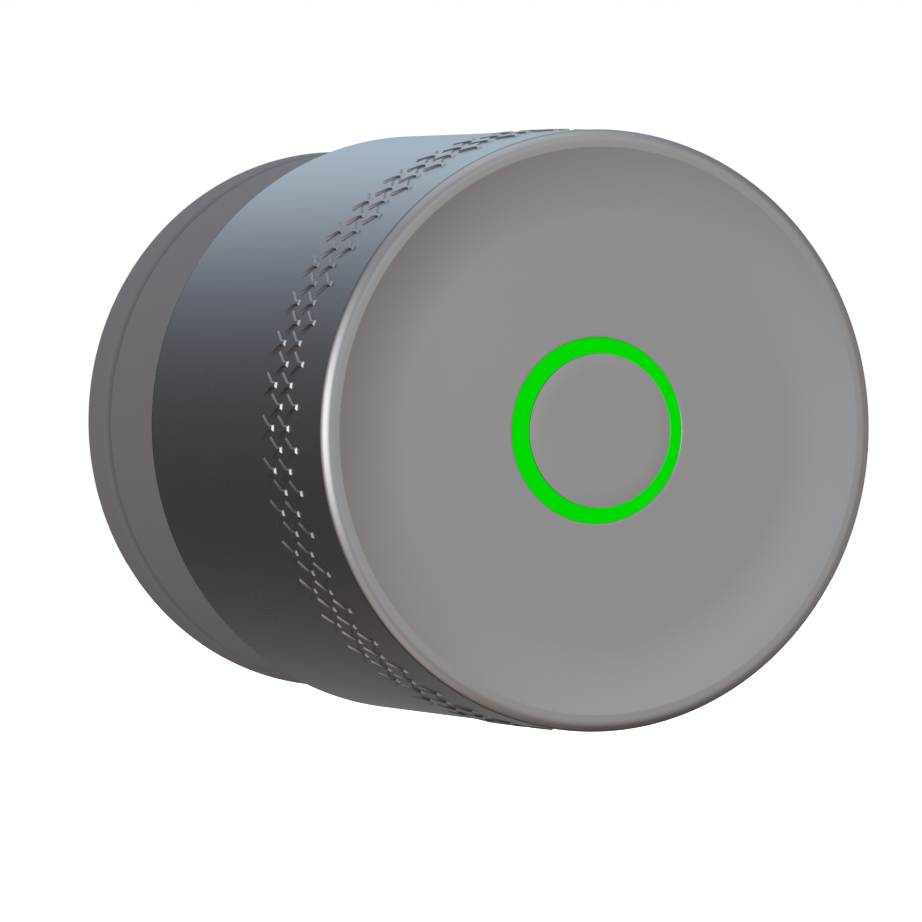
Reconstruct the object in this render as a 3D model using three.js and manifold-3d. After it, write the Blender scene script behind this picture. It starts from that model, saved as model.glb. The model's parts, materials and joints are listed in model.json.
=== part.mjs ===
import * as THREE from "three";
import { mergeVertices } from "three/addons/utils/BufferGeometryUtils.js";
import Module from "manifold-3d";

// A battery powered door lock knob, in millimetres. Inside the group its axis is +Z, measured
// outwards from the door, +Y is up and +X is to the right of someone facing the knob. The
// group is turned once, at the end, so that the axis points along -Y and +Z is up.

const wasm = await Module();
wasm.setup();

// Driving dimensions: the outside.
const bodyRadius = 22.5; // grip sleeve
const bodyLength = 51.3; // door face to front rim
const collarRadius = 21.48; // base collar and antenna collar
const seamHeight = 5; // where the turning part meets the still part
const sleeveStart = 16.6; // where the metal sleeve starts
const rimRadius = 21.94; // outer edge of the flat front rim
const rimChamfer = 0.49; // depth of the chamfer around the rim
const dishRadius = 21.2; // outer edge of the hollow front
const floorRadius = 15.7; // where the hollow turns into a flat floor
const dishArc = 19.3; // radius of the hollow's cross section
const ringRadius = 6.89; // light ring
const buttonRadius = 5.76;
const buttonProud = 0.55; // button face above the floor of the front
const buttonTravel = 0.35;
const gap = 0.1; // between pieces that stay together
const play = 0.06; // around pieces that move

// Grip pattern: four columns of raised lozenges, each with a blunt nose towards the front.
const tilesAround = 44;
const tileFronts = [41.6, 43.1, 44.6, 46.1]; // distance from the door of each column's noses
const tilePhase = THREE.MathUtils.degToRad(1.52); // +X to the middle of the first tile
const tileHeight = 0.14;
const tileRoot = 0.1; // how deep a tile is sunk into the sleeve
const tileSlope = 0.86; // how far a wall leans out, for each unit of height
const tileHalfWidth = 0.93;
const tileNoseHalfWidth = 0.19;
const tileNoseLength = 0.78;
const tileShoulder = 1.97; // nose to widest point
const tileLength = 2.5;
const tileTailHalfWidth = 0.3;

// Lock cylinder interface.
const neckRadius = 7.1; // socket for the cylinder's round neck
const hubRadius = 8.4;
const hubTop = 8.6;
const spindleRadius = 3.1; // socket for the cylinder's drive spindle
const spindleFlat = 2.3; // axis to the flat of that socket

// Still part.
const plateBack = 0.5;
const plateTop = 4.2;
const plateRadius = 19.1;
const raceInner = 16.7;
const raceOuter = 18.3;
const raceFlange = 19.5;
const raceTop = 7.6;
const raceFlangeBack = 6.9;
const collarEdge = [[0, 1.2], [0.1, 0.5], [0.4, 0]]; // set back and drop of its rounded edge
const gasketInner = 10.5;
const gasketOuter = 15.8;
const magnetRadius = 10.2;
const grubRadius = 1.25;
const grubLength = 5;
const grubSocketDepth = 1.8;
const grubSocketRadius = 0.7;
const grubHeight = 2.35;
const grubAngles = [0, -60];
const raceScrewCircle = 17.45;
const raceScrewAngles = [60, 180, 300];
const raceScrewRadius = 0.6;
const raceScrewHead = 1.15;
const raceScrewSink = 0.8; // depth of the head's recess

// Turning part.
const collarBore = 19.95;
const collarSpigot = 21.05;
const collarFlange = 18.9; // inner edge of the flange that hooks behind the race
const collarFlangeTop = 6;
const chassisLedge = 19.3; // inner edge of the ledge under the chassis
const chassisLedgeDepth = 1.2;
const glideStep = 18.8;
const glideStepTop = 6.1;
const glideRadius = 19.8;
const sealInner = 20.3;
const sealDepth = 0.8;
const coverSeatDepth = 1.2;
const spigotTop = 22;
const sleeveBore = 21.2;
const ledgeRadius = 20.4;
const coverBack = 48.75;
const chassisBack = 10;
const chassisTop = 11.6;
const chassisRadius = 19.7;
const couplerRadius = 5.2;
const couplerBack = 9;
const couplerTop = 15.7;
const boardBack = 45;
const boardTop = 46;
const boardRadius = 18.6;
const standoffs = [[3, 17], [-12.2, 12.2], [3, -17], [17, 0]];
const standoffRadius = 1.3;
const ledCount = 6;
const ledCircle = 7.3;
const portAngle = -30;
const portHeight = 13.6;
const portWidth = 8.9;
const portDepth = 3.2;
const portInner = 16;
const portOuter = 21.1;
const portWall = 0.3;
const tongueWidth = 6.4;
const tongueDepth = 0.8;

// Motor.
const motorRadius = 6;
const gearheadTop = 24.7;
const canTop = 39.4;
const canEdge = 0.4;
const canBoss = 2;
const canBossTop = 40;
const motorShaft = 1;
const motorShaftTop = 18.2;

// Light ring, button and its switch.
const lightBack = 46.95;
const lightRim = 7.9;
const lightFlange = 8.4;
const lightFlangeBack = 47.9;
const lightBore = 6.6; // room behind the button's flange
const lightBoreTop = 48.9;
const buttonStem = 1.2;
const buttonStemBack = 47.9;
const buttonHollow = 5;
const buttonHollowTop = 49.4;
const buttonFlange = 6.4;
const buttonFlangeBack = 48;
const buttonFlangeTop = 48.8;
const plungerTop = 47.85;

// Square pieces, as two opposite corners.
const blocks = {
  battery_cell_1: ["cell", [-5.4, -14.6, 17], [3, 14.6, 43]],
  battery_cell_2: ["cell", [3.3, -14.6, 17], [11.7, 14.6, 43]],
  battery_cushion: ["rubber", [-5, -14, 43.2], [11.4, 14, boardBack - 2 * gap]],
  main_board: ["circuitBoard", [12.6, -11, 17], [13.8, 11, 43]],
  radio_module: ["chip", [13.9, -7, 19], [15.2, 7, 31]],
  motor_driver: ["chip", [13.9, -3, 34], [14.9, 3, 39]],
  battery_connector: ["whitePlastic", [13.9, 6, 35], [16.5, 10, 40]],
  antenna_board: ["circuitBoard", [-9.5, 15.8, 11.8], [0.3, 16.6, 16]],
  antenna_chip: ["whitePlastic", [-8, 16.7, 12.8], [-1, 17.4, 15]],
  angle_sensor: ["chip", [-1.5, 7.9, 9.25], [1.5, 10.9, 9.9]],
};

// The battery tray's cross section, [across, height], and its half length.
const traySection = [
  [-5.8, 16.8], [-5.8, 15.9], [6.4, 15.9], [6.4, 11.7], [7.6, 11.7], [7.6, 15.9],
  [9.6, 15.9], [9.6, 11.7], [10.8, 11.7], [10.8, 15.9], [14.4, 15.9], [14.4, 16.8],
];
const trayHalfLength = 12;

// Sides of the round pieces.
const shellSides = 56;
const ringSides = 48;
const partSides = 32;
const shaftSides = 16;
const screwSides = 8;

// Gears: the knob drives itself around a gear that is fixed to the door.
const toothModule = 0.5;
const fixedTeeth = 40;
const pinionTeeth = 12;
const wheelTeeth = 24;
const driveTeeth = 10;
const backlash = 0.06; // taken off each flank
const centreSlack = 0.06; // added to each distance between gear axes
const pressureAngle = THREE.MathUtils.degToRad(20);
const transferDistance = (toothModule * (fixedTeeth + pinionTeeth)) / 2 + centreSlack;
const driveDistance = (toothModule * (wheelTeeth + driveTeeth)) / 2 + centreSlack;
const motorDistance = 12.6; // knob axis to motor axis
const motorAngle = Math.PI;
const transferAngle = motorAngle + Math.acos(
  (transferDistance ** 2 + motorDistance ** 2 - driveDistance ** 2)
  / (2 * transferDistance * motorDistance),
);
const motorAxis = polar(motorDistance, motorAngle);
const transferAxis = polar(transferDistance, transferAngle);
const gearboxBack = 14.6;
const gearboxTop = 15.6;
const gearboxEdge = -5.6;
const gearboxPosts = [[-15.5, 6.5], [-7, 5.5], [-7.2, -15.8]];

// Heights of the front that follow from the dimensions above.
const hollowWidth = dishRadius - floorRadius;
const floorHeight = bodyLength - (dishArc - Math.sqrt(dishArc ** 2 - hollowWidth ** 2));
const buttonTop = floorHeight + buttonProud;

const finishes = {
  anodised: { color: 0x75777c, roughness: 0.42, metalness: 0.9 },
  mattePlastic: { color: 0x5b595b, roughness: 0.75, metalness: 0 },
  darkPlastic: { color: 0x222326, roughness: 0.6, metalness: 0 },
  whitePlastic: { color: 0xd8d8d2, roughness: 0.5, metalness: 0 },
  lightGuide: { color: 0x1fd83a, roughness: 0.3, metalness: 0 },
  zinc: { color: 0x9a9b9d, roughness: 0.45, metalness: 0.9 },
  steel: { color: 0xb0b2b5, roughness: 0.3, metalness: 1 },
  brass: { color: 0xb08d4a, roughness: 0.35, metalness: 1 },
  magnet: { color: 0x3a3a3d, roughness: 0.5, metalness: 0.4 },
  rubber: { color: 0x1a1a1b, roughness: 0.85, metalness: 0 },
  circuitBoard: { color: 0x16502e, roughness: 0.5, metalness: 0 },
  chip: { color: 0x1d1d20, roughness: 0.4, metalness: 0 },
  cell: { color: 0x2d5fa0, roughness: 0.5, metalness: 0 },
};

const knobGroup = new THREE.Group();

// ---- Shapes ----

function polar(radius, angle) {
  return new THREE.Vector2(radius * Math.cos(angle), radius * Math.sin(angle));
}

// Merged vertices, no flat triangles and every face outwards.
function tidy(geometry) {
  const bare = geometry.clone();
  bare.deleteAttribute("normal");
  bare.deleteAttribute("uv");
  const merged = mergeVertices(bare, 1e-5);
  const position = merged.attributes.position;
  const corner = [new THREE.Vector3(), new THREE.Vector3(), new THREE.Vector3()];
  const kept = [];
  let volume = 0;
  for (let i = 0; i < merged.index.count; i += 3) {
    const [a, b, c] = [0, 1, 2].map((k) => merged.index.getX(i + k));
    if (a === b || b === c || c === a) continue;
    [a, b, c].forEach((vertex, k) => corner[k].fromBufferAttribute(position, vertex));
    volume += corner[0].dot(corner[1].clone().cross(corner[2]));
    kept.push([a, b, c]);
  }
  if (volume < 0) kept.forEach((triangle) => triangle.reverse());
  merged.setIndex(kept.flat());
  return merged;
}

function toSolid(geometry) {
  const clean = tidy(geometry);
  return new wasm.Manifold(new wasm.Mesh({
    numProp: 3,
    vertProperties: new Float32Array(clean.attributes.position.array),
    triVerts: new Uint32Array(clean.index.array),
  }));
}

function fromSolid(solid) {
  const mesh = solid.getMesh();
  const geometry = new THREE.BufferGeometry();
  geometry.setAttribute("position", new THREE.BufferAttribute(mesh.vertProperties, 3));
  geometry.setIndex(new THREE.BufferAttribute(mesh.triVerts, 1));
  return geometry;
}

function cut(geometry, ...tools) {
  return fromSolid(tools.reduce((solid, tool) => solid.subtract(toSolid(tool)), toSolid(geometry)));
}

function join(geometry, ...others) {
  return fromSolid(others.reduce((solid, other) => solid.add(toSolid(other)), toSolid(geometry)));
}

// A profile of [radius, height] pairs turned about the axis. A profile that leaves the axis
// and returns to it makes a disc; any other closes on itself and makes a ring.
function turned(profile, sides) {
  const points = profile.map(([radius, height]) => new THREE.Vector2(radius, height));
  if (profile[0][0] > 0) points.push(points[0].clone());
  return tidy(new THREE.LatheGeometry(points, sides).rotateX(Math.PI / 2));
}

function disc(radius, back, front, sides) {
  return turned([[0, back], [radius, back], [radius, front], [0, front]], sides);
}

function ring(inner, outer, back, front, sides) {
  return turned([[inner, back], [outer, back], [outer, front], [inner, front]], sides);
}

function circle(radius, sides, centre = new THREE.Vector2()) {
  const corners = Array.from({ length: sides }, (_, k) => polar(radius, (k * 2 * Math.PI) / sides));
  return corners.map((corner) => corner.add(centre));
}

function plate(outline, holes, back, front) {
  const shape = new THREE.Shape(outline);
  shape.holes = holes.map((hole) => new THREE.Path(hole));
  const options = { depth: front - back, bevelEnabled: false };
  return tidy(new THREE.ExtrudeGeometry(shape, options).translate(0, 0, back));
}

// A block between two corners.
function block(low, high) {
  const size = high.map((value, k) => value - low[k]);
  const middle = high.map((value, k) => (value + low[k]) / 2);
  return tidy(new THREE.BoxGeometry(...size).translate(...middle));
}

// A round bar whose axis points away from the knob's axis, at a height above the door.
function radialBar(radius, inner, outer, height, degrees, sides) {
  const bar = new THREE.CylinderGeometry(radius, radius, outer - inner, sides);
  bar.translate(0, (inner + outer) / 2, 0).rotateZ(-Math.PI / 2).translate(0, 0, height);
  return tidy(bar.rotateZ(THREE.MathUtils.degToRad(degrees)));
}

// An involute gear outline with the middle of one tooth pointing along toothAngle.
function gearOutline(teeth, toothAngle) {
  const pitch = (toothModule * teeth) / 2;
  const base = pitch * Math.cos(pressureAngle);
  const tip = pitch + 0.85 * toothModule;
  const root = pitch - 1.15 * toothModule;
  const involute = (angle) => Math.tan(angle) - angle;
  const halfPitch = Math.PI / (2 * teeth) - backlash / pitch;
  const halfTooth = (radius) => {
    const pressure = Math.acos(Math.min(1, base / radius));
    return halfPitch + involute(pressureAngle) - involute(pressure);
  };
  const radii = [root, pitch, tip];
  const corners = [];
  for (let tooth = 0; tooth < teeth; tooth += 1) {
    const middle = toothAngle + (tooth * 2 * Math.PI) / teeth;
    radii.forEach((radius) => corners.push(polar(radius, middle - halfTooth(radius))));
    radii.toReversed().forEach((radius) => corners.push(polar(radius, middle + halfTooth(radius))));
  }
  return corners;
}

function add(name, finish, geometry, centre = new THREE.Vector2()) {
  const mesh = new THREE.Mesh(geometry, new THREE.MeshStandardMaterial(finishes[finish]));
  mesh.name = name;
  mesh.position.set(centre.x, centre.y, 0);
  knobGroup.add(mesh);
}

// ---- Still part: fixed to the lock cylinder ----

function addBase() {
  const seam = seamHeight - gap;
  const grubHoles = grubAngles.map((angle) => (
    radialBar(grubRadius + gap, neckRadius - 1, collarRadius + 1, grubHeight, angle, shaftSides)
  ));
  const collar = turned([
    [plateRadius + 0.2, 0],
    [collarRadius, 0],
    ...collarEdge.map(([back, drop]) => [collarRadius - back, seam - drop]),
    [plateRadius + 0.2, seam],
  ], shellSides);
  add("base_collar", "mattePlastic", cut(collar, ...grubHoles));

  const screwHoles = raceScrewAngles.map((degrees) => {
    const centre = polar(raceScrewCircle, THREE.MathUtils.degToRad(degrees));
    return turned([
      [0, plateBack - 1],
      [raceScrewHead + gap, plateBack - 1],
      [raceScrewHead + gap, plateBack + raceScrewSink],
      [raceScrewRadius + gap, plateBack + raceScrewSink],
      [raceScrewRadius + gap, raceFlangeBack],
      [0, raceFlangeBack],
    ], screwSides).translate(centre.x, centre.y, 0);
  });
  const castPlate = turned([
    [neckRadius, plateBack],
    [plateRadius, plateBack],
    [plateRadius, plateTop],
    [hubRadius, plateTop],
    [hubRadius, hubTop],
    [neckRadius, hubTop],
  ], ringSides);
  add("base_plate", "zinc", cut(castPlate, ...grubHoles, ...screwHoles));
  grubAngles.forEach((angle, k) => {
    const inner = neckRadius + 2 * gap;
    const outer = inner + grubLength;
    const screw = radialBar(grubRadius, inner, outer, grubHeight, angle, screwSides);
    const floor = outer - grubSocketDepth;
    const hexSocket = radialBar(grubSocketRadius, floor, outer + 1, grubHeight, angle, 6);
    add(`grub_screw_${k + 1}`, "steel", cut(screw, hexSocket));
  });
  add("door_gasket", "rubber", ring(gasketInner, gasketOuter, gap / 2, plateBack - gap, partSides));

  const race = turned([
    [raceInner, plateTop + gap],
    [raceOuter, plateTop + gap],
    [raceOuter, raceFlangeBack],
    [raceFlange, raceFlangeBack],
    [raceFlange, raceTop],
    [raceInner, raceTop],
  ], ringSides);
  add("race_ring", "steel", cut(race, ...screwHoles));
  raceScrewAngles.forEach((degrees, k) => {
    const centre = polar(raceScrewCircle, THREE.MathUtils.degToRad(degrees));
    const screw = turned([
      [0, plateBack + gap],
      [raceScrewHead, plateBack + gap],
      [raceScrewHead, plateBack + raceScrewSink - gap],
      [raceScrewRadius, plateBack + raceScrewSink - gap],
      [raceScrewRadius, raceFlangeBack - 3 * gap],
      [0, raceFlangeBack - 3 * gap],
    ], screwSides);
    add(`race_screw_${k + 1}`, "steel", screw, centre);
  });

  const gearBore = circle(hubRadius + gap, partSides);
  const outline = gearOutline(fixedTeeth, transferAngle);
  add("fixed_gear", "steel", plate(outline, [gearBore], plateTop + gap, hubTop - 0.5));
  add("angle_magnet", "magnet", ring(hubRadius + gap, magnetRadius, hubTop - 0.35, hubTop + 0.4, partSides));
}

// ---- Turning part: the shells ----

function lozenge(front, angle) {
  const half = [
    [0, tileNoseHalfWidth],
    [-tileNoseLength, tileNoseHalfWidth],
    [-tileShoulder, tileHalfWidth],
    [-tileLength, tileTailHalfWidth],
  ];
  const corners = [...half, ...half.toReversed().map(([along, across]) => [along, -across])];
  const outline = corners.map(([along, across]) => new THREE.Vector2(front + along, across));
  const tile = plate(outline, [], bodyRadius - tileRoot, bodyRadius + tileHeight);
  const position = tile.attributes.position;
  for (let k = 0; k < position.count; k += 1) {
    const lean = tileSlope * (bodyRadius + tileHeight / 2 - position.getZ(k));
    const [along, across] = [position.getX(k), position.getY(k)];
    if (along > front - tileNoseLength / 2) position.setX(k, along + lean);
    if (along < front - (tileShoulder + tileLength) / 2) position.setX(k, along - lean);
    position.setY(k, across + Math.sign(across) * lean);
  }
  // The prism stands on the axis plane; it is laid on the sleeve with its nose to the front.
  const axes = new THREE.Matrix4().makeBasis(
    new THREE.Vector3(0, 0, 1),
    new THREE.Vector3(0, 1, 0),
    new THREE.Vector3(1, 0, 0),
  );
  return tidy(tile.applyMatrix4(axes)).rotateZ(angle);
}

function addShells() {
  const portOpening = portBlock(portWidth + 4 * gap, portDepth + 4 * gap, portInner - 1, collarRadius + 1);
  const collar = turned([
    [collarFlange, seamHeight + gap],
    [collarRadius, seamHeight + gap],
    [collarRadius, sleeveStart - gap],
    [collarSpigot, sleeveStart - gap],
    [collarSpigot, spigotTop],
    [collarBore, spigotTop],
    [collarBore, chassisBack - gap],
    [chassisLedge, chassisBack - gap],
    [chassisLedge, chassisBack - chassisLedgeDepth],
    [collarBore, chassisBack - chassisLedgeDepth],
    [collarBore, collarFlangeTop],
    [collarFlange, collarFlangeTop],
  ], shellSides);
  add("antenna_collar", "mattePlastic", cut(collar, portOpening));
  add("glide_ring", "whitePlastic", turned([
    [raceOuter + play * 2, plateTop + 4 * gap],
    [glideStep, plateTop + 4 * gap],
    [glideStep, glideStepTop],
    [glideRadius, glideStepTop],
    [glideRadius, raceFlangeBack - gap],
    [raceOuter + play * 2, raceFlangeBack - gap],
  ], ringSides));
  const sealBack = spigotTop + gap;
  add("sleeve_seal", "rubber", ring(sealInner, collarSpigot, sealBack, sealBack + sealDepth, partSides));

  const sleeve = turned([
    [bodyRadius, sleeveStart],
    [bodyRadius, bodyLength - rimChamfer],
    [rimRadius, bodyLength],
    [dishRadius + play, bodyLength],
    [dishRadius + play, coverBack - play],
    [ledgeRadius, coverBack - play],
    [ledgeRadius, coverBack - coverSeatDepth],
    [sleeveBore, coverBack - coverSeatDepth - (sleeveBore - ledgeRadius)],
    [sleeveBore, sleeveStart],
  ], 2 * tilesAround);
  const tiles = tileFronts.flatMap((front, column) => (
    Array.from({ length: tilesAround }, (_, k) => (
      lozenge(front, tilePhase + ((k + (column % 2) / 2) * 2 * Math.PI) / tilesAround)
    ))
  ));
  add("grip_sleeve", "anodised", join(sleeve, ...tiles));

  const hollow = [];
  const steps = 3;
  for (let k = 0; k <= steps; k += 1) {
    const radius = dishRadius - (k * hollowWidth) / steps;
    const sag = Math.sqrt(dishArc ** 2 - (radius - floorRadius) ** 2);
    hollow.push([radius, floorHeight + dishArc - sag]);
  }
  const cover = turned([
    [ringRadius + gap, coverBack],
    [dishRadius, coverBack],
    ...hollow,
    [ringRadius + gap, floorHeight],
  ], shellSides);
  add("front_cover", "anodised", cover);
}

// ---- Turning part: what carries the drive ----

function addDrive() {
  const coupler = plate(
    circle(couplerRadius, partSides),
    [circle(spindleRadius, partSides).map((point) => point.set(Math.min(point.x, spindleFlat), point.y))],
    couplerBack,
    couplerTop,
  );
  add("spindle_coupler", "steel", coupler);
  const chassisHoles = [circle(couplerRadius + gap, partSides), circle(1.5, shaftSides, transferAxis)];
  const chassis = plate(circle(chassisRadius, ringSides), chassisHoles, chassisBack, chassisTop);
  add("chassis", "darkPlastic", chassis);

  const segment = circle(19.2, ringSides).filter(({ x, y }) => x < gearboxEdge && y < 9);
  const gearboxHoles = [circle(1.3, shaftSides, motorAxis), circle(1, shaftSides, transferAxis)];
  const gearboxOutline = [new THREE.Vector2(gearboxEdge, 9), ...segment];
  add("gearbox_plate", "brass", plate(gearboxOutline, gearboxHoles, gearboxBack, gearboxTop));
  gearboxPosts.forEach(([x, y], k) => {
    const post = disc(1.2, chassisTop + gap, gearboxBack - gap, screwSides);
    add(`gearbox_post_${k + 1}`, "brass", post, new THREE.Vector2(x, y));
  });

  const gearhead = turned([
    [0, motorShaftTop + 4 * gap],
    [motorShaft + 0.15, motorShaftTop + 4 * gap],
    [motorShaft + 0.15, gearboxTop + gap],
    [motorRadius, gearboxTop + gap],
    [motorRadius, gearheadTop],
    [0, gearheadTop],
  ], partSides);
  add("motor_gearhead", "steel", gearhead, motorAxis);
  add("motor_can", "steel", turned([
    [0, gearheadTop + gap],
    [motorRadius, gearheadTop + gap],
    [motorRadius, canTop - canEdge],
    [motorRadius - canEdge, canTop],
    [canBoss, canTop],
    [canBoss, canBossTop],
    [0, canBossTop],
  ], partSides), motorAxis);
  const capOuter = motorRadius - 2 * canEdge;
  const cap = ring(canBoss + 2 * gap, capOuter, canTop + gap, canBossTop + 0.6, shaftSides);
  add("motor_end_cap", "whitePlastic", cap, motorAxis);
}

function addGears() {
  const back = plateTop + 0.5;
  const wheelBack = chassisTop + 0.6;
  const wheelTop = wheelBack + 1.8;
  const toKnobAxis = transferAngle + Math.PI;
  const toMotor = motorAxis.clone().sub(transferAxis).angle();
  const pinionOutline = gearOutline(pinionTeeth, toKnobAxis + Math.PI / pinionTeeth);
  const transfer = join(
    plate(pinionOutline, [], back, back + 3.2),
    disc(1.4, back + 2, wheelBack + 1, shaftSides),
    plate(gearOutline(wheelTeeth, toMotor), [], wheelBack, wheelTop),
    disc(0.9, wheelTop - 1, gearboxTop - 0.2, shaftSides),
  );
  add("transfer_gear", "steel", transfer, transferAxis);
  const driveOutline = gearOutline(driveTeeth, toMotor + Math.PI + Math.PI / driveTeeth);
  const drive = join(
    plate(driveOutline, [], wheelBack + gap, wheelTop + gap),
    disc(motorShaft, wheelTop - 1, motorShaftTop, shaftSides),
  );
  add("drive_gear", "brass", drive, motorAxis);
}

// ---- Turning part: power and electronics ----

function portBlock(width, height, inner, outer) {
  const half = [width / 2, height / 2];
  const low = [inner, -half[0], portHeight - half[1]];
  const high = [outer, half[0], portHeight + half[1]];
  return block(low, high).rotateZ(THREE.MathUtils.degToRad(portAngle));
}

function addElectronics() {
  Object.entries(blocks).forEach(([name, [finish, low, high]]) => add(name, finish, block(low, high)));
  const section = traySection.map(([across, height]) => new THREE.Vector2(across, -height));
  const tray = plate(section, [], -trayHalfLength, trayHalfLength).rotateX(-Math.PI / 2);
  add("battery_tray", "darkPlastic", tray);

  const shell = portBlock(portWidth, portDepth, portInner, portOuter);
  const mouth = portBlock(portWidth - 2 * portWall, portDepth - 2 * portWall, portInner + 1, portOuter + 1);
  const tongue = portBlock(tongueWidth, tongueDepth, portInner + 0.5, portOuter - 0.5);
  add("charge_port", "steel", join(cut(shell, mouth), tongue));
}

function addFront() {
  const holes = standoffs.map(([x, y]) => circle(0.75, screwSides, new THREE.Vector2(x, y)));
  add("front_board", "circuitBoard", plate(circle(boardRadius, ringSides), holes, boardBack, boardTop));
  standoffs.forEach(([x, y], k) => {
    const centre = new THREE.Vector2(x, y);
    const post = turned([
      [0, chassisTop + gap],
      [standoffRadius, chassisTop + gap],
      [standoffRadius, boardBack - gap],
      [0.75, boardBack - gap],
      [0.75, boardBack - 4.5],
      [0, boardBack - 4.5],
    ], screwSides);
    add(`standoff_${k + 1}`, "brass", post, centre);
    const screw = turned([
      [0, boardBack - 4],
      [0.6, boardBack - 4],
      [0.6, boardTop + gap],
      [1.25, boardTop + gap],
      [1.25, boardTop + 0.9],
      [0, boardTop + 0.9],
    ], screwSides);
    add(`board_screw_${k + 1}`, "steel", screw, centre);
  });
  for (let k = 0; k < ledCount; k += 1) {
    const led = block([-0.8, -0.8, boardTop + 0.05], [0.8, 0.8, boardTop + 0.7]);
    const angle = ((k + 0.5) * 2 * Math.PI) / ledCount;
    add(`status_led_${k + 1}`, "whitePlastic", led.rotateZ(angle), polar(ledCircle, angle));
  }
  add("light_ring", "lightGuide", turned([
    [buttonRadius + play, buttonTop],
    [buttonRadius + play, lightBoreTop],
    [lightBore, lightBoreTop],
    [lightBore, lightBack],
    [lightRim, lightBack],
    [lightFlange, lightFlangeBack],
    [lightFlange, coverBack - gap],
    [ringRadius, coverBack - gap],
    [ringRadius, floorHeight],
  ], ringSides));

  const switchHole = disc(1.1, boardTop - 1, boardTop + 2, shaftSides);
  const switchCase = block([-3, -3, boardTop + 0.05], [3, 3, boardTop + 1.3]);
  add("switch_body", "chip", cut(switchCase, switchHole));
  add("switch_plunger", "whitePlastic", disc(1, boardTop + 0.15 + buttonTravel, plungerTop, shaftSides));
  add("button_cap", "anodised", turned([
    [0, buttonStemBack],
    [buttonStem, buttonStemBack],
    [buttonStem, buttonHollowTop],
    [buttonHollow, buttonHollowTop],
    [buttonHollow, buttonFlangeBack],
    [buttonFlange, buttonFlangeBack],
    [buttonFlange, buttonFlangeTop],
    [buttonRadius, buttonFlangeTop],
    [buttonRadius, buttonTop],
    [0, buttonTop],
  ], ringSides));
}

addBase();
addShells();
addDrive();
addGears();
addElectronics();
addFront();

knobGroup.rotation.x = Math.PI / 2;

export default knobGroup;
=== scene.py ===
import json
import math

import bmesh
import bpy
from mathutils import Matrix, Vector


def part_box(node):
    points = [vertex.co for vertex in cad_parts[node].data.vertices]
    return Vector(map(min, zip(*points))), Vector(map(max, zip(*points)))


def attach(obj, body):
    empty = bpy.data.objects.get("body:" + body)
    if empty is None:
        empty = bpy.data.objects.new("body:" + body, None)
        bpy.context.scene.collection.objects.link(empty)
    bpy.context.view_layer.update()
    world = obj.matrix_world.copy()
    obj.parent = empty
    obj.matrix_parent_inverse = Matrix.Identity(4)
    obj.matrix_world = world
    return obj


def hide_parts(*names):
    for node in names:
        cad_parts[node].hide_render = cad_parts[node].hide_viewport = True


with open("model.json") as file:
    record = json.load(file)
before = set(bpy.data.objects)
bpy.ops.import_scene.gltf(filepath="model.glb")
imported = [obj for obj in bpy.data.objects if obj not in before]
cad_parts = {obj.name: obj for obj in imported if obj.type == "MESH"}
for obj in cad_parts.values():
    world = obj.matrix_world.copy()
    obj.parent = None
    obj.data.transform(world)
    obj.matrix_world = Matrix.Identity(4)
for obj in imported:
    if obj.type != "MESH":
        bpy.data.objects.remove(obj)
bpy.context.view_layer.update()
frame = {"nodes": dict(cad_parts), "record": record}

# A battery powered door lock knob. The frame is in metres with the knob's axis along Y: the
# door face is the plane y = 0, the front looks along -Y and +Z is up. The sizes of the pieces
# are in millimetres, heights are measured outwards from the door, and angles are in degrees
# from +X towards +Z.
mm = 0.001

# straight steps round the outer pieces (eight for each lozenge of a row), the pieces behind
# them, and screw holes
turnSteps = 352
innerSteps = 192
holeSteps = 48

# fillets of edges that hardly show
crisp = 0.05
eased = 0.1
soft = 0.2

overrun = 1  # how far a cutting tool runs past a face
sharpAngle = 32  # edges steeper than this are shaded as edges
flatWeight = 50  # how strongly large faces keep their shading flat


def heights(node):
    low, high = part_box(node)
    return -high[1] / mm, -low[1] / mm


def radiusOf(node):
    low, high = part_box(node)
    return (high[0] - low[0]) / 2 / mm


def shaded(colour, factor):
    return tuple(channel * factor for channel in colour)


class Value:
    # One socket of a node tree. Arithmetic on it adds Math nodes, or Vector Math for vectors.
    def __init__(self, book, socket):
        self.book = book
        self.socket = socket

    def combine(self, operation, first, second):
        settings = {"operation": operation}
        pair = [item for item in (first, second) if isinstance(item, Value)]
        if any(item.socket.type == "VECTOR" for item in pair):
            spread = [
                item if isinstance(item, (Value, tuple)) else (item, item, item)
                for item in (first, second)
            ]
            return self.book.node("ShaderNodeVectorMath", settings, dict(enumerate(spread)))
        return self.book.node("ShaderNodeMath", settings, {0: first, 1: second})

    def __add__(self, other):
        return self.combine("ADD", self, other)

    def __radd__(self, other):
        return self.combine("ADD", other, self)

    def __sub__(self, other):
        return self.combine("SUBTRACT", self, other)

    def __rsub__(self, other):
        return self.combine("SUBTRACT", other, self)

    def __mul__(self, other):
        return self.combine("MULTIPLY", self, other)

    def __rmul__(self, other):
        return self.combine("MULTIPLY", other, self)

    def __truediv__(self, other):
        return self.combine("DIVIDE", self, other)

    def __rtruediv__(self, other):
        return self.combine("DIVIDE", other, self)

    def __pow__(self, other):
        return self.combine("POWER", self, other)

    def __rpow__(self, other):
        return self.combine("POWER", other, self)


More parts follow.
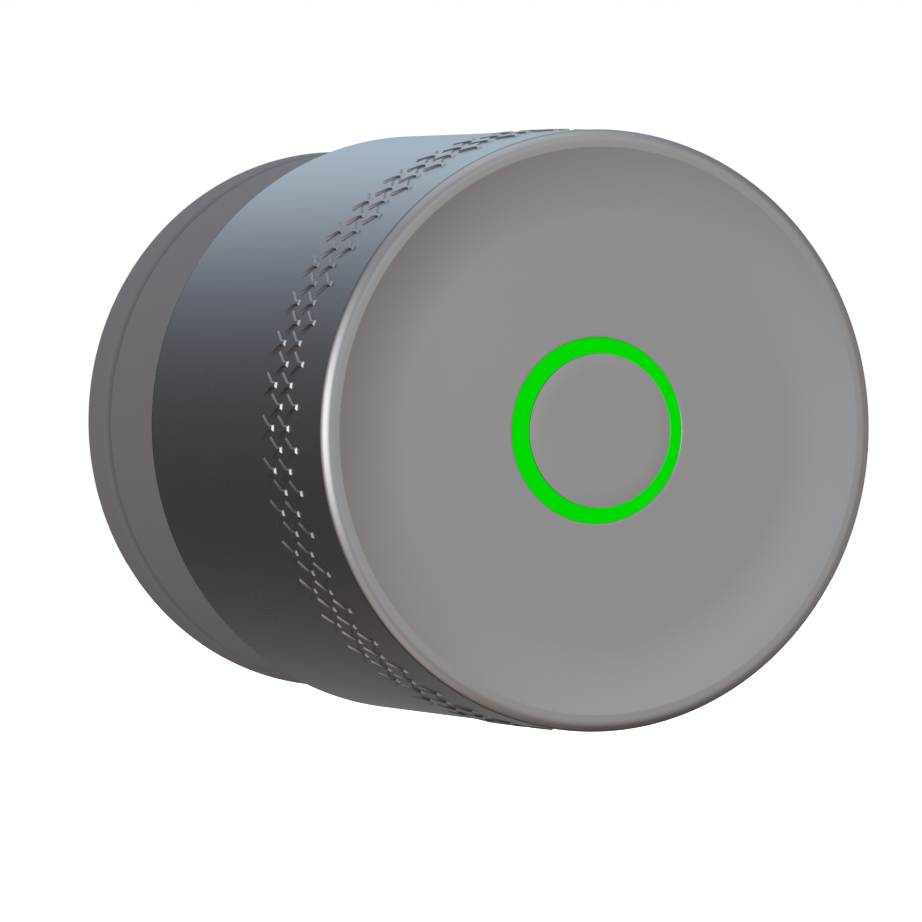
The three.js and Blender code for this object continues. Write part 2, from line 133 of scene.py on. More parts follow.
class ShaderBook:
    # Adds nodes to one tree.
    def __init__(self, tree):
        self.tree = tree

    def node(self, kind, settings=None, inputs=None, output=0):
        made = self.tree.nodes.new(kind)
        for name, value in (settings or {}).items():
            setattr(made, name, value)
        for slot, value in (inputs or {}).items():
            self.feed(made.inputs[slot], value)
        return Value(self, made.outputs[output]) if len(made.outputs) else None

    def feed(self, socket, value):
        if isinstance(value, Value):
            self.tree.links.new(value.socket, socket)
        elif socket.type == "RGBA":
            socket.default_value = (*value, 1)
        else:
            socket.default_value = value

    def place(self):
        return self.node("ShaderNodeTexCoord", output="Object")

    def axis(self, index):
        # Millimetres along the frame's X, Y or Z.
        place = self.place()
        return self.node("ShaderNodeSeparateXYZ", inputs={"Vector": place}, output=index) / mm

    def height(self):
        # Millimetres outwards from the door.
        return -1 * self.axis(1)

    def radius(self):
        # Millimetres from the knob's axis.
        across, up = self.axis(0), self.axis(2)
        return (across * across + up * up) ** 0.5

    def range(self, value, fromLow, fromHigh, low, high):
        return self.node("ShaderNodeMapRange", inputs={
            "Value": value, "From Min": fromLow, "From Max": fromHigh,
            "To Min": low, "To Max": high,
        })

    def band(self, value, ends, blurs):
        # 1 between the two ends, fading to 0 outside each of them over its own blur.
        rise = self.range(value, ends[0] - blurs[0], ends[0], 0, 1)
        return rise * self.range(value, ends[1], ends[1] + blurs[1], 1, 0)

    def noise(self, size, detail=2):
        # Noise whose blotches are about size millimetres across, from 0 to 1.
        return self.node("ShaderNodeTexNoise", inputs={
            "Vector": self.place(), "Scale": 1 / (size * mm), "Detail": detail,
        })

    def mix(self, factor, first, second):
        # A colour between first and second.
        inputs = {0: factor, 6: first, 7: second}
        return self.node("ShaderNodeMix", {"data_type": "RGBA"}, inputs, 2)

    def mottle(self, factor, colour, shades):
        # The colour, wandering from its darker to its lighter shade.
        return self.mix(factor, shaded(colour, shades[0]), shaded(colour, shades[1]))

    def bump(self, height, depth):
        return self.node("ShaderNodeBump", inputs={
            "Height": height, "Distance": depth * mm, "Strength": 1.0,
        })


class Paint(ShaderBook):
    # A material whose constant values sit on the Principled shader's own sockets.
    def __init__(self, name, constants):
        self.material = bpy.data.materials.new(name)
        self.material.use_nodes = True
        super().__init__(self.material.node_tree)
        self.surface = self.tree.nodes["Principled BSDF"]
        self.set(constants)

    def set(self, values):
        for slot, value in values.items():
            self.feed(self.surface.inputs[slot], value)


anodisedLook = {
    "colour": (0.47, 0.465, 0.47), "shades": (0.97, 1.03), "cloud": 9,
    "roughness": 0.27, "glossChange": 0.03, "grain": 0.16, "depth": 0.0003,
    # edge: heights of a band of painted shadow at the back edge of the sleeve
    "edge": (16.64, 16.75), "edgeBlurs": (0.03, 0.03), "edgeShadowFactor": 0.4,
}


def anodised(name, look):
    # Bead blasted and anodised: a fine even grain, slightly cloudy in colour and gloss, and
    # a painted shadow along the back edge of the sleeve, where it meets the collar.
    paint = Paint(name, {"Metallic": 1.0})
    cloud = paint.noise(look["cloud"], 3)
    grain = paint.noise(look["grain"])
    gloss = look["roughness"] + look["glossChange"] * (cloud - 0.5)
    # painted shadow: the colour darkens in a narrow band at the sleeve's back edge, where the gap
    # to the collar lies in shade
    edge = paint.band(paint.height(), look["edge"], look["edgeBlurs"])
    blasted = paint.mottle(cloud, look["colour"], look["shades"])
    paint.set({
        "Base Color": paint.mix(edge, blasted, shaded(look["colour"], look["edgeShadowFactor"])),
        "Roughness": gloss + look["glossChange"] * (grain - 0.5),
        "Normal": paint.bump(grain, look["depth"]),
    })
    return paint.material


collarLook = {
    "colour": (0.23, 0.222, 0.232), "roughness": 0.62, "grain": 0.22, "depth": 0.003,
    # seam: heights of a band of painted shade in the groove beside the antenna collar
    "seam": (4.5, 5.0), "seamBlurs": (0.8, 0.05), "seamShadowFactor": 0.6,
}
mouldTexture = {
    "cloud": 14, "shades": (0.97, 1.03), "glossChange": 0.08, "coarser": 3, "coarseShare": 0.5,
}


def mouldedPlastic(name, look, texture):
    # Spark eroded mould texture: small rounded pits of two sizes, and painted shade in a seam.
    paint = Paint(name, {"Metallic": 0.0})
    cloud = paint.noise(texture["cloud"])
    grain = paint.noise(look["grain"], 3)
    coarse = paint.noise(look["grain"] * texture["coarser"])
    colour = paint.mottle(cloud, look["colour"], texture["shades"])
    if "seam" in look:
        # painted shade: the colour darkens in the groove where the antenna collar overhangs the
        # base collar
        seamShadow = paint.band(paint.height(), look["seam"], look["seamBlurs"])
        colour = paint.mix(seamShadow, colour, shaded(look["colour"], look["seamShadowFactor"]))
    paint.set({
        "Base Color": colour,
        "Roughness": look["roughness"] + texture["glossChange"] * (grain - 0.5),
        "Normal": paint.bump(grain + texture["coarseShare"] * coarse, look["depth"]),
    })
    return paint.material


lightLook = {
    "colour": (0.0, 0.68, 0.0), "shades": (0.985, 1.015), "cloud": 1.5,
    "crest": (5.7, 5.83), "crestBlurs": (0.01, 0.01),
    "sockets": {
        "Base Color": (0.0, 0.02, 0.0), "Roughness": 0.5, "Specular IOR Level": 0.0,
        "Emission Strength": 1.0, "Coat IOR": 2.2, "Coat Roughness": 0.2,
    },
}


def litPlastic(name, look):
    # A lit light guide, even all round, with a slightly cloudy core and a polished crest.
    paint = Paint(name, look["sockets"])
    cloud = paint.noise(look["cloud"])
    paint.set({
        "Emission Color": paint.mottle(cloud, look["colour"], look["shades"]),
        "Coat Weight": paint.band(paint.radius(), look["crest"], look["crestBlurs"]),
    })
    return paint.material


machinedLook = {
    "zinc": {"colour": (0.42, 0.42, 0.43), "roughness": 0.5, "grain": 0.5, "depth": 0.01},
    "steel": {"colour": (0.56, 0.56, 0.57), "roughness": 0.3, "grain": 0.15, "depth": 0.002},
    "brass": {"colour": (0.62, 0.45, 0.18), "roughness": 0.32, "grain": 0.15, "depth": 0.002},
}
latheTexture = {"shades": (0.93, 1.05), "marksPerMm": 4, "glossChange": 0.12}


def machinedMetal(name, look, texture):
    # Lathe marks run round the axis, over a faint casting or rolling grain.
    paint = Paint(name, {"Metallic": 1.0})
    marks = paint.node("ShaderNodeTexNoise", {"noise_dimensions": "1D"},
                       {"W": paint.radius(), "Scale": texture["marksPerMm"], "Detail": 2})
    grain = paint.noise(look["grain"])
    paint.set({
        "Base Color": paint.mottle(grain, look["colour"], texture["shades"]),
        "Roughness": look["roughness"] + texture["glossChange"] * (marks - 0.5),
        "Normal": paint.bump(marks + grain, look["depth"]),
    })
    return paint.material


boardLook = {
    "mask": (0.006, 0.09, 0.035), "track": (0.012, 0.15, 0.06), "raised": 0.02,
    "pitch": 1.1, "jitter": 0.7, "trackEdge": (0.05, 0.09),
    "sockets": {"Roughness": 0.38, "Coat Weight": 0.3, "Coat Roughness": 0.2},
}


def circuitBoard(name, look):
    # Green solder mask with slightly raised, paler tracks showing through it.
    paint = Paint(name, look["sockets"])
    cells = paint.node(
        "ShaderNodeTexVoronoi", {"feature": "DISTANCE_TO_EDGE", "distance": "MANHATTAN"},
        {"Vector": paint.place(), "Scale": 1 / (look["pitch"] * mm), "Randomness": look["jitter"]},
    )
    track = paint.range(cells, *look["trackEdge"], 1, 0)
    paint.set({
        "Base Color": paint.mix(track, look["mask"], look["track"]),
        "Normal": paint.bump(track, look["raised"]),
    })
    return paint.material


hiddenLook = {
    "dark_plastic": {"colour": (0.02, 0.02, 0.022), "roughness": 0.55, "grain": 0.25,
                     "depth": 0.004},
    "white_plastic": {"colour": (0.7, 0.7, 0.66), "roughness": 0.4, "grain": 0.4,
                      "depth": 0.002},
    "chip": {"colour": (0.014, 0.014, 0.016), "roughness": 0.45, "grain": 0.12, "depth": 0.003},
    "magnet": {"colour": (0.035, 0.035, 0.038), "roughness": 0.5, "grain": 0.1, "depth": 0.004},
    "cell_wrap": {"colour": (0.03, 0.1, 0.3), "roughness": 0.35, "grain": 2.5, "depth": 0.03},
    "rubber": {"colour": (0.016, 0.016, 0.017), "roughness": 0.8, "grain": 0.3, "depth": 0.006},
    "foam": {"colour": (0.03, 0.03, 0.032), "roughness": 0.95, "grain": 0.6, "depth": 0.08},
}

materials = {
    "anodised_aluminium": anodised("anodisedAluminium", anodisedLook),
    "matte_collar_plastic": mouldedPlastic("matteCollarPlastic", collarLook, mouldTexture),
    "green_light_guide": litPlastic("greenLightGuide", lightLook),
    "circuit_board": circuitBoard("solderMask", boardLook),
}
for slotName, look in machinedLook.items():
    materials[slotName] = machinedMetal(slotName + "Metal", look, latheTexture)
for slotName, look in hiddenLook.items():
    surfaceName = slotName.replace("_", "") + "Surface"
    materials[slotName] = mouldedPlastic(surfaceName, look, mouldTexture)

for row in frame["record"]["subparts"]:
    for materialSlot in frame["nodes"][row["node"]].material_slots:
        materialSlot.material = materials[row["material_slot"]]
print("materials made")


def rounded(corners, steps=5):
    # Corners are (radius, height, fillet); each fillet becomes an arc that meets both sides.
    outline = []
    count = len(corners)
    for index, (radius, height, fillet) in enumerate(corners):
        here = Vector((radius, height))
        if fillet == 0:
            outline.append(here)
            continue
        before = (Vector(corners[index - 1][:2]) - here).normalized()
        after = (Vector(corners[(index + 1) % count][:2]) - here).normalized()
        halfAngle = before.angle(after) / 2
        reach = fillet / math.tan(halfAngle)
        centre = here + (before + after).normalized() * (fillet / math.sin(halfAngle))
        start = here + before * reach - centre
        end = here + after * reach - centre
        sweep = start.angle_signed(end)
        for step in range(steps + 1):
            arm = start.copy()
            arm.rotate(Matrix.Rotation(-sweep * step / steps, 2))
            outline.append(centre + arm)
    return outline


def turned(name, outline, sides=turnSteps):
    # A closed outline of (radius, height) points turned about the knob's axis.
    shape = bmesh.new()
    rings = []
    for radius, height in outline:
        if radius == 0:
            rings.append([shape.verts.new((0, -height * mm, 0))] * sides)
            continue
        ring = []
        for side in range(sides):
            angle = 2 * math.pi * side / sides
            ring.append(shape.verts.new((
                radius * math.cos(angle) * mm, -height * mm, radius * math.sin(angle) * mm,
            )))
        rings.append(ring)
    for near, far in zip(rings, rings[1:] + rings[:1]):
        for side in range(sides):
            turn = (side + 1) % sides
            quad = []
            for corner in (near[side], near[turn], far[turn], far[side]):
                if corner not in quad:
                    quad.append(corner)
            if len(quad) > 2:
                shape.faces.new(quad)
    return finished(name, shape)


def finished(name, shape):
    bmesh.ops.recalc_face_normals(shape, faces=shape.faces)
    mesh = bpy.data.meshes.new(name)
    shape.to_mesh(mesh)
    shape.free()
    piece = bpy.data.objects.new(name, mesh)
    bpy.context.scene.collection.objects.link(piece)
    return piece


def slab(name, outline, low, high):
    # A flat outline of (x, z) points, thick from one height above the door to another.
    shape = bmesh.new()
    foot = [shape.verts.new((x * mm, -low * mm, z * mm)) for x, z in outline]
    base = shape.faces.new(foot)
    raised = bmesh.ops.extrude_face_region(shape, geom=[base])
    for item in raised["geom"]:
        if isinstance(item, bmesh.types.BMVert):
            item.co.y = -high * mm
    return finished(name, shape)


def roundedBar(width, depth, corner, steps=6):
    # The outline of a bar with round corners, centred on the axis.
    outline = []
    for quarter, (x, z) in enumerate([(1, 1), (-1, 1), (-1, -1), (1, -1)]):
        for step in range(steps + 1):
            angle = math.pi / 2 * (quarter + step / steps)
            outline.append((x * (width / 2 - corner) + corner * math.cos(angle),
                            z * (depth / 2 - corner) + corner * math.sin(angle)))
    return outline


def pointOutwards(piece, angle, height, roll=0):
    # Lays a piece made along the axis at a height above the door, pointing away from the axis.
    lift = Matrix.Translation((0, -height * mm, 0))
    turn = Matrix.Rotation(-math.radians(angle), 4, "Y") @ Matrix.Rotation(math.pi / 2, 4, "Z")
    piece.data.transform(lift @ turn @ Matrix.Rotation(math.radians(roll), 4, "Y"))


def settle(piece):
    # Applies the piece's modifiers and leaves plain mesh behind.
    graph = bpy.context.evaluated_depsgraph_get()
    result = bpy.data.meshes.new_from_object(piece.evaluated_get(graph))
    piece.modifiers.clear()
    piece.data = result


def carve(piece, tools, operation="DIFFERENCE"):
    # Cuts the tools out of the piece, or joins them on.
    for tool in tools:
        knife = piece.modifiers.new("cut", "BOOLEAN")
        knife.operation = operation
        knife.solver = "MANIFOLD"
        knife.object = tool
    settle(piece)
    for tool in tools:
        bpy.data.objects.remove(tool)
    return piece


def dress(piece, slotName, body, *nodes):
    # Smooth shading with crisp edges, the material, and the piece's place on its body.
    piece.data.materials.clear()
    piece.data.materials.append(materials[slotName])
    piece.data.polygons.foreach_set("use_smooth", [True] * len(piece.data.polygons))
    piece.data.set_sharp_from_angle(angle=math.radians(sharpAngle))
    weigh = piece.modifiers.new("flatFaces", "WEIGHTED_NORMAL")
    weigh.keep_sharp = True
    weigh.weight = flatWeight
    settle(piece)
    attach(piece, body)
    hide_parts(*nodes)
    return piece


grubHole = {"angles": (0, -60), "radius": 1.35, "height": 2.35, "near": 5, "far": 25}


def grubBars(hole):
    # Round bars where the two grub screws are reached from outside.
    bars = []
    for angle in hole["angles"]:
        outline = [(0, hole["near"]), (hole["radius"], hole["near"]),
                   (hole["radius"], hole["far"]), (0, hole["far"])]
        bar = turned("hole", outline, holeSteps)
        pointOutwards(bar, angle, hole["height"])
        bars.append(bar)
    return bars


baseCollarShape = {"inner": 19.3, "rearFillet": 0.25, "edgeDrop": 0.4, "edgeWidth": 1.2,
                   "edgeFillet": 2.0}


def buildBaseCollar(shape):
    low, high = heights("base_collar")
    outer = radiusOf("base_collar")
    corners = [
        (shape["inner"], low, eased),
        (outer, low, shape["rearFillet"]),
        (outer, high - shape["edgeWidth"], shape["edgeFillet"]),
        (outer - shape["edgeDrop"], high, crisp),
        (shape["inner"], high, crisp),
    ]
    collar = carve(turned("baseCollar", rounded(corners)), grubBars(grubHole))
    dress(collar, "matte_collar_plastic", "base", "base_collar")


basePlateShape = {
    "bore": 7.1, "boreFillet": 0.25, "hub": 8.4, "hubFillet": 0.15, "top": 4.2,
    "screwCircle": 17.45, "screwAngles": (60, 180, 300), "screwRadius": 0.7, "screwEnd": 9,
    "headRadius": 1.25, "headDepth": 0.8,
}


def buildBasePlate(shape):
    low, high = heights("base_plate")
    rim = radiusOf("base_plate")
    corners = [
        (shape["bore"], low, shape["boreFillet"]),
        (rim, low, soft),
        (rim, shape["top"], soft),
        (shape["hub"], shape["top"], shape["hubFillet"]),
        (shape["hub"], high, eased),
        (shape["bore"], high, eased),
    ]
    plate = turned("basePlate", rounded(corners), innerSteps)
    sinkOutline = [
        (0, low - overrun),
        (shape["headRadius"], low - overrun),
        (shape["headRadius"], low + shape["headDepth"]),
        (shape["screwRadius"], low + shape["headDepth"]),
        (shape["screwRadius"], shape["screwEnd"]),
        (0, shape["screwEnd"]),
    ]
    sinks = []
    for angle in shape["screwAngles"]:
        sink = turned("sink", sinkOutline, holeSteps)
        turn = math.radians(angle)
        away = shape["screwCircle"] * mm
        shift = Matrix.Translation((away * math.cos(turn), 0, away * math.sin(turn)))
        sink.data.transform(shift)
        sinks.append(sink)
    dress(carve(plate, grubBars(grubHole) + sinks), "zinc", "base", "base_plate")


gasketShape = {
    "inner": 10.5, "innerRise": 0.1, "outerFillet": 0.03, "ribs": 3, "firstRib": 11.2,
    "ribPitch": 1.95, "ribWidth": 0.7, "ribFillet": 0.08, "groove": (0.95, 1.7),
    "grooveRise": 0.14,
}


def buildDoorGasket(shape):
    # Round ribs bear on the door, with shallow grooves between them.
    low, high = heights("door_gasket")
    outer = radiusOf("door_gasket")
    grooveHeight = low + shape["grooveRise"]
    ribs = [(shape["inner"], high, crisp), (shape["inner"], low + shape["innerRise"], crisp)]
    for rib in range(shape["ribs"]):
        start = shape["firstRib"] + rib * shape["ribPitch"]
        ribs += [
            (start, low, shape["ribFillet"]),
            (start + shape["ribWidth"], low, shape["ribFillet"]),
            (start + shape["groove"][0], grooveHeight, crisp),
            (start + shape["groove"][1], grooveHeight, crisp),
        ]
    # the last groove runs out to the edge
    ribs[-1:] = [(outer, grooveHeight, shape["outerFillet"]), (outer, high, crisp)]
    gasket = turned("doorGasket", rounded(ribs, 3), innerSteps)
    dress(gasket, "rubber", "base", "door_gasket")


buildBaseCollar(baseCollarShape)
buildBasePlate(basePlateShape)
buildDoorGasket(gasketShape)
print("still part made")


portShape = {
    "angle": -30, "height": 13.6, "roll": 90,
    # width, height and corner radius, then the nearest and furthest distance from the axis
    "opening": ((9.3, 3.6, 1.2), (15, 25)),
    "shell": ((8.9, 3.2, 1.1), (16, 21.1)),
    "mouth": ((8.3, 2.6, 0.85), (17, 22)),
    "tongue": ((6.4, 0.8, 0.2), (16.5, 20.6)),
}


def portSlab(port, part, name):
    outline, reach = port[part]
    return slab(name, roundedBar(*outline), *reach)


def buildPort(port):
    # A steel shell with rolled corners round a contact tongue.
    shell = carve(portSlab(port, "shell", "chargePort"), [portSlab(port, "mouth", "mouth")])
    carve(shell, [portSlab(port, "tongue", "tongue")], "UNION")
    pointOutwards(shell, port["angle"], port["height"], port["roll"])
    dress(shell, "steel", "knob", "charge_port")


collarShape = {
    "bore": 19.95, "spigot": 21.05, "flange": 18.9, "flangeTop": 6, "sleeveGap": 0.02,
    "edgeFillet": 0.08, "stepFillet": 0.04,
}


def buildAntennaCollar(shape, port):
    low, high = heights("antenna_collar")
    outer = radiusOf("antenna_collar")
    step = heights("grip_sleeve")[0] - shape["sleeveGap"]
    corners = [
        (shape["flange"], low, crisp),
        (outer, low, shape["edgeFillet"]),
        (outer, step, shape["stepFillet"]),
        (shape["spigot"], step, shape["stepFillet"]),
        (shape["spigot"], high, soft),
        (shape["bore"], high, eased),
        (shape["bore"], shape["flangeTop"], crisp),
        (shape["flange"], shape["flangeTop"], crisp),
    ]
    collar = turned("antennaCollar", rounded(corners))
    opening = portSlab(port, "opening", "opening")
    pointOutwards(opening, port["angle"], port["height"], port["roll"])
    dress(carve(collar, [opening]), "matte_collar_plastic", "knob", "antenna_collar")


buildAntennaCollar(collarShape, portShape)

tileShape = {
    "around": 44, "phase": 1.52, "fronts": (41.6, 43.1, 44.6, 46.1),
    # one half of a lozenge, from its nose to its tail: along the knob and across it
    "outline": ((0, 0.19), (-0.78, 0.19), (-1.97, 0.93), (-2.5, 0.3)),
    "height": 0.14, "foot": 0.3, "slope": 0.86, "strips": 4,
    # how far down and inwards the top edge's rounding passes, in edge widths
    "edge": 0.02, "roundOver": ((0.3, -0.1), (0, 0.6)),
}


def inset(outline, distance):
    # The outline moved inwards by the same distance on every side.
    moved = []
    count = len(outline)
    for index, corner in enumerate(outline):
        before = (corner - outline[index - 1]).normalized()
        after = (outline[(index + 1) % count] - corner).normalized()
        left = Vector((-before.y, before.x))
        right = Vector((-after.y, after.x))
        between = (left + right).normalized()
        moved.append(corner + between * (distance / between.dot(left)))
    return moved


def buildTiles(shape, radius):
    # Raised lozenges with a blunt nose to the front, in staggered columns round the sleeve.
    # Their walls lean in towards the top.
    half = [Vector(corner) for corner in shape["outline"]]
    outline = half + [Vector((along, -across)) for along, across in half[::-1]]
    count = len(outline)
    edge = shape["edge"]
    top = radius + shape["height"]
    lean = shape["slope"] * shape["height"] / 2
    levels = [
        (radius - shape["foot"], -lean),
        (radius, -lean),
        (top - edge, lean - edge * shape["slope"]),
    ]
    levels += [(top - edge * down, lean + edge * inwards) for down, inwards in shape["roundOver"]]
    courses = [(level, inset(outline, inwards)) for level, inwards in levels]
    topOutline = courses[-1][1]
    tiles = bmesh.new()

    def corner(middle, front, along, across, level):
        angle = middle + across / radius
        return tiles.verts.new((
            level * math.cos(angle) * mm, -(front + along) * mm, level * math.sin(angle) * mm,
        ))

    def addTile(middle, front):
        rings = [
            [corner(middle, front, *place, level) for place in places]
            for level, places in courses
        ]
        for near, far in zip(rings, rings[1:]):
            for side in range(count):
                turnTo = (side + 1) % count
                tiles.faces.new((near[side], near[turnTo], far[turnTo], far[side]))
        tiles.faces.new(rings[0][::-1])
        # the top runs in strips from one side to the other, to follow the sleeve's curve
        rows = []
        for station in range(count // 2):
            along, across = topOutline[station]
            row = [rings[-1][station]]
            for strip in range(1, shape["strips"]):
                place = across * (1 - 2 * strip / shape["strips"])
                row.append(corner(middle, front, along, place, top))
            row.append(rings[-1][count - 1 - station])
            rows.append(row)
        for near, far in zip(rows, rows[1:]):
            for strip in range(shape["strips"]):
                tiles.faces.new((near[strip], near[strip + 1], far[strip + 1], far[strip]))
        tiles.faces.new(rows[0])
        tiles.faces.new(rows[-1])

    for column, front in enumerate(shape["fronts"]):
        for turn in range(shape["around"]):
            step = turn + (column % 2) / 2
            addTile(math.radians(shape["phase"] + 360 * step / shape["around"]), front)
    return finished("gripTiles", tiles)


def roundNormals(piece, radii, tolerance=0.002):
    # Faces that lie on a round side of one of these radii are shaded as a true cylinder.
    mesh = piece.data
    normals = [corner.vector.copy() for corner in mesh.corner_normals]
    for face in mesh.polygons:
        places = [mesh.vertices[index].co for index in face.vertices]
        distances = [math.hypot(place.x, place.z) / mm for place in places]
        for radius in radii:
            if all(abs(distance - radius) < tolerance for distance in distances):
                for loop, place in zip(face.loop_indices, places):
                    normals[loop] = Vector((place.x, 0, place.z)).normalized()
    mesh.normals_split_custom_set(normals)


sleeveShape = {
    "radius": 22.5, "bore": 21.2, "rim": 21.94, "chamfer": 0.49, "rearFillet": 0.06,
    "sideFillet": 0.5, "faceFillet": 0.8, "seatGap": 0.06, "ledge": 20.4, "ledgeDepth": 1.2,
    "ledgeFoot": 2,
}


def buildSleeve(shape, tiles):
    low, high = heights("grip_sleeve")
    cover = radiusOf("front_cover")
    seat = heights("front_cover")[0] - shape["seatGap"]
    corners = [
        (shape["bore"], low, eased),
        (shape["radius"], low, shape["rearFillet"]),
        (shape["radius"], high - shape["chamfer"], shape["sideFillet"]),
        (shape["rim"], high, shape["faceFillet"]),
        (cover, high, 0),
        (cover, seat, crisp),
        (shape["ledge"], seat, eased),
        (shape["ledge"], seat - shape["ledgeDepth"], eased),
        (shape["bore"], seat - shape["ledgeFoot"], eased),
    ]
    sleeve = turned("gripSleeve", rounded(corners))
    carve(sleeve, [buildTiles(tiles, shape["radius"])], "UNION")
    dress(sleeve, "anodised_aluminium", "knob", "grip_sleeve")
    roundNormals(sleeve, (shape["radius"], shape["radius"] + tiles["height"]))


buildSleeve(sleeveShape, tileShape)
print("grip sleeve made")

coverShape = {
    "floorRadius": 15.7, "arc": 19.3, "arcSteps": 20, "floorRing": 11,
    "hole": 6.93, "holeEdge": 0.11, "holeFlat": 0.3,
    # the rim is let into the sleeve, so that no gap shows between them
    "letIn": 0.03, "rimDrop": 0.04, "rimFillet": 0.02,
}


def hollowRise(shape, radius):
    # How far the hollow front has risen above its floor at this radius.
    across = radius - shape["floorRadius"]
    return shape["arc"] - math.sqrt(shape["arc"] ** 2 - across ** 2)


def hollowFloor(shape):
    return heights("front_cover")[1] - hollowRise(shape, radiusOf("front_cover"))


def buildCover(shape):
    low, high = heights("front_cover")
    edge = radiusOf("front_cover")
    floor = hollowFloor(shape)
    hollow = []
    for step in range(shape["arcSteps"] + 1):
        radius = edge - (edge - shape["floorRadius"]) * step / shape["arcSteps"]
        hollow.append((radius, floor + hollowRise(shape, radius), 0))
    corners = [
        (shape["hole"], low, crisp),
        (edge + shape["letIn"], low, shape["rimFillet"]),
        (edge + shape["letIn"], high - shape["rimDrop"], 0),
        *hollow,
        (shape["floorRing"], floor, 0),
        (shape["hole"] + shape["holeFlat"], floor, 0),
        (shape["hole"], floor, shape["holeEdge"]),
    ]
    dress(turned("frontCover", rounded(corners)), "anodised_aluminium", "knob", "front_cover")


# crestRise, edgeDrops: heights above and below the floor of the hollow
ringShape = {
    "inner": 5.8, "crestRise": 0.54, "crestFillet": 0.07, "wall": 6.6, "wallTop": 48.9,
    "foot": 7.9, "footRise": 0.95, "flange": 8.4, "flangeTop": 48.65,
    "edges": (6.94, 6.89), "edgeDrops": (0.05, 0.01),
}


def buildLightRing(shape, floor):
    # The lit face slopes up from the floor of the hollow to a crest beside the button.
    low = heights("light_ring")[0]
    corners = [
        (shape["inner"], floor + shape["crestRise"], shape["crestFillet"]),
        (shape["inner"], shape["wallTop"], crisp),
        (shape["wall"], shape["wallTop"], crisp),
        (shape["wall"], low, crisp),
        (shape["foot"], low, eased),
        (shape["flange"], low + shape["footRise"], crisp),
        (shape["flange"], shape["flangeTop"], crisp),
        (shape["edges"][0], shape["flangeTop"], crisp),
        (shape["edges"][0], floor - shape["edgeDrops"][0], 0),
        (shape["edges"][1], floor - shape["edgeDrops"][1], 0),
    ]
    dress(turned("lightRing", rounded(corners)), "green_light_guide", "knob", "light_ring")


buttonShape = {
    "stem": 1.2, "skirt": 5.0, "skirtTop": 49.4, "flangeGap": 0.1, "flangeTop": 0.9,
    "face": 5.76, "faceRing": 4.5, "edge": 0.015,
}


def buildButton(shape):
    low, high = heights("button_cap")
    flange = radiusOf("button_cap")
    corners = [
        (0, low, 0),
        (shape["stem"], low, eased),
        (shape["stem"], shape["skirtTop"], eased),
        (shape["skirt"], shape["skirtTop"], soft),
        (shape["skirt"], low + shape["flangeGap"], crisp),
        (flange, low + shape["flangeGap"], crisp),
        (flange, low + shape["flangeTop"], crisp),
        (shape["face"], low + shape["flangeTop"], crisp),
        (shape["face"], high, shape["edge"]),
        (shape["faceRing"], high, 0),
        (0, high, 0),
    ]
    dress(turned("buttonCap", rounded(corners)), "anodised_aluminium", "button", "button_cap")


buildCover(coverShape)
buildLightRing(ringShape, hollowFloor(coverShape))
buildButton(buttonShape)
print("front made")

buildPort(portShape)

floorLook = {
    "drop": 0.09, "half": 3.0,  # metres
    "sockets": {
        "Base Color": (0.9, 0.9, 0.9), "Roughness": 0.9, "Specular IOR Level": 0,
        "Emission Color": (1, 1, 1), "Emission Strength": 1.0,
    },
}


def buildFloor(look):
    # A plain pale floor that only the camera sees, so that it casts no colour on the metal.
    shape = bmesh.new()
    half = look["half"]
    corners = [(-half, -half), (half, -half), (half, half), (-half, half)]
    shape.faces.new([shape.verts.new((x, y, -look["drop"])) for x, y in corners])
    floor = finished("floor", shape)
    floor.data.materials.append(Paint("paleFloor", look["sockets"]).material)
    floor.visible_glossy = False
    floor.visible_diffuse = False
    floor.visible_shadow = False


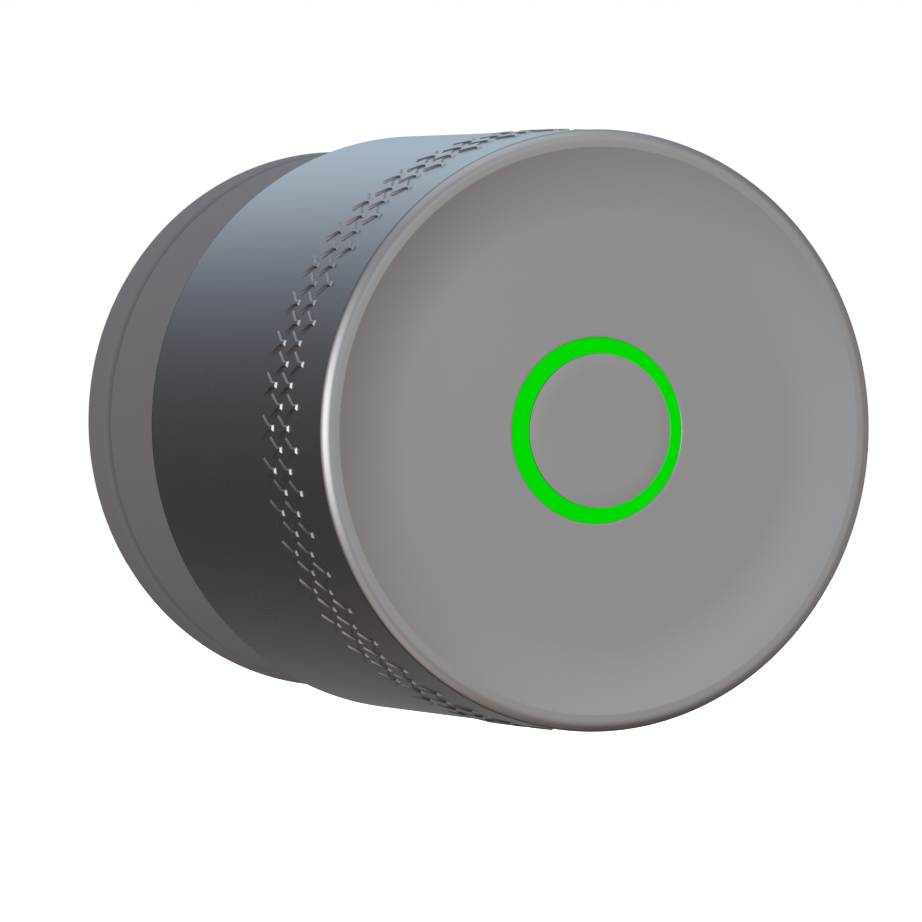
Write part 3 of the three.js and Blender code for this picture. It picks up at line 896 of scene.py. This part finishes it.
studio = {
    "backdrop": (1, 1, 1),
    "boxes": (
        # direction, tightness, colour
        ((0, 0, 1), 8, (0.82, 0.88, 0.96)),
        ((0, 0, -1), 8, (0.15, 0.12, 0.11)),
        ((1, 0, 0), 8, (0.43, 0.39, 0.38)),
        ((-1, 0.2, 0), 16, (0.73, 0.61, 0.65)),
        ((-0.86, -0.5, 0), 24, (2.2, 2.22, 2.28)),
        ((-0.42, -0.4, 0.81), 16, (0.2, 0.18, 0.2)),
        ((-0.42, -0.4, -0.81), 16, (0.58, 0.52, 0.48)),
        ((0, 0.92, 0.4), 24, (0.18, 0.18, 0.21)),
        ((0, 0.92, -0.4), 24, (0.04, 0.03, 0.03)),
        ((0.28, 0.92, 0.28), 24, (0.47, 0.62, 0.74)),
        ((0.28, 0.92, -0.28), 24, (0.08, 0.07, 0.06)),
        ((0.4, -0.92, 0), 14, (0.1, 0.11, 0.11)),
        ((-0.17, -0.98, 0), 14, (0.48, 0.51, 0.55)),
        ((0.4, -0.77, 0.5), 14, (0.53, 0.51, 0.47)),
        ((0.4, -0.77, -0.5), 14, (0.33, 0.3, 0.29)),
    ),
}


def buildStudio(look):
    # Soft boxes all round, as smooth glows in the world; the camera itself sees plain white.
    world = bpy.data.worlds.new("studio")
    bpy.context.scene.world = world
    world.use_nodes = True
    world.node_tree.nodes.clear()
    book = ShaderBook(world.node_tree)
    direction = book.node("ShaderNodeTexCoord", output="Generated")
    total = None
    for aim, tightness, colour in look["boxes"]:
        near = book.node("ShaderNodeVectorMath", {"operation": "DOT_PRODUCT"},
                         {0: direction, 1: tuple(Vector(aim).normalized())}, "Value")
        glow = (0.5 + 0.5 * near) ** tightness
        light = book.node("ShaderNodeVectorMath", {"operation": "SCALE"}, {0: colour, 3: glow})
        total = total + light if total else light
    lit = book.node("ShaderNodeBackground", inputs={"Color": total})
    plain = book.node("ShaderNodeBackground", inputs={"Color": look["backdrop"]})
    seen = book.node("ShaderNodeLightPath", output="Is Camera Ray")
    mixed = book.node("ShaderNodeMixShader", inputs={0: seen, 1: lit, 2: plain})
    book.node("ShaderNodeOutputWorld", inputs={"Surface": mixed})
    bpy.context.scene.view_settings.view_transform = "Standard"


shot = {
    "place": (-0.24559, -0.58829, 0.00324), "yaw": -23.565, "pitch": -0.565, "roll": 1.898,
    "lens": 309.1, "sensor": 36, "clip": (0.01, 20),
}


def placeCamera(look):
    camera = bpy.data.objects.new("camera", bpy.data.cameras.new("camera"))
    bpy.context.scene.collection.objects.link(camera)
    camera.data.lens = look["lens"]
    camera.data.sensor_width = look["sensor"]
    camera.data.clip_start, camera.data.clip_end = look["clip"]
    turn = (
        Matrix.Rotation(math.radians(look["yaw"]), 4, "Z")
        @ Matrix.Rotation(math.radians(90 + look["pitch"]), 4, "X")
        @ Matrix.Rotation(math.radians(look["roll"]), 4, "Z")
    )
    camera.matrix_world = Matrix.Translation(look["place"]) @ turn
    bpy.context.scene.camera = camera


buildFloor(floorLook)
buildStudio(studio)
placeCamera(shot)
print("stage made")
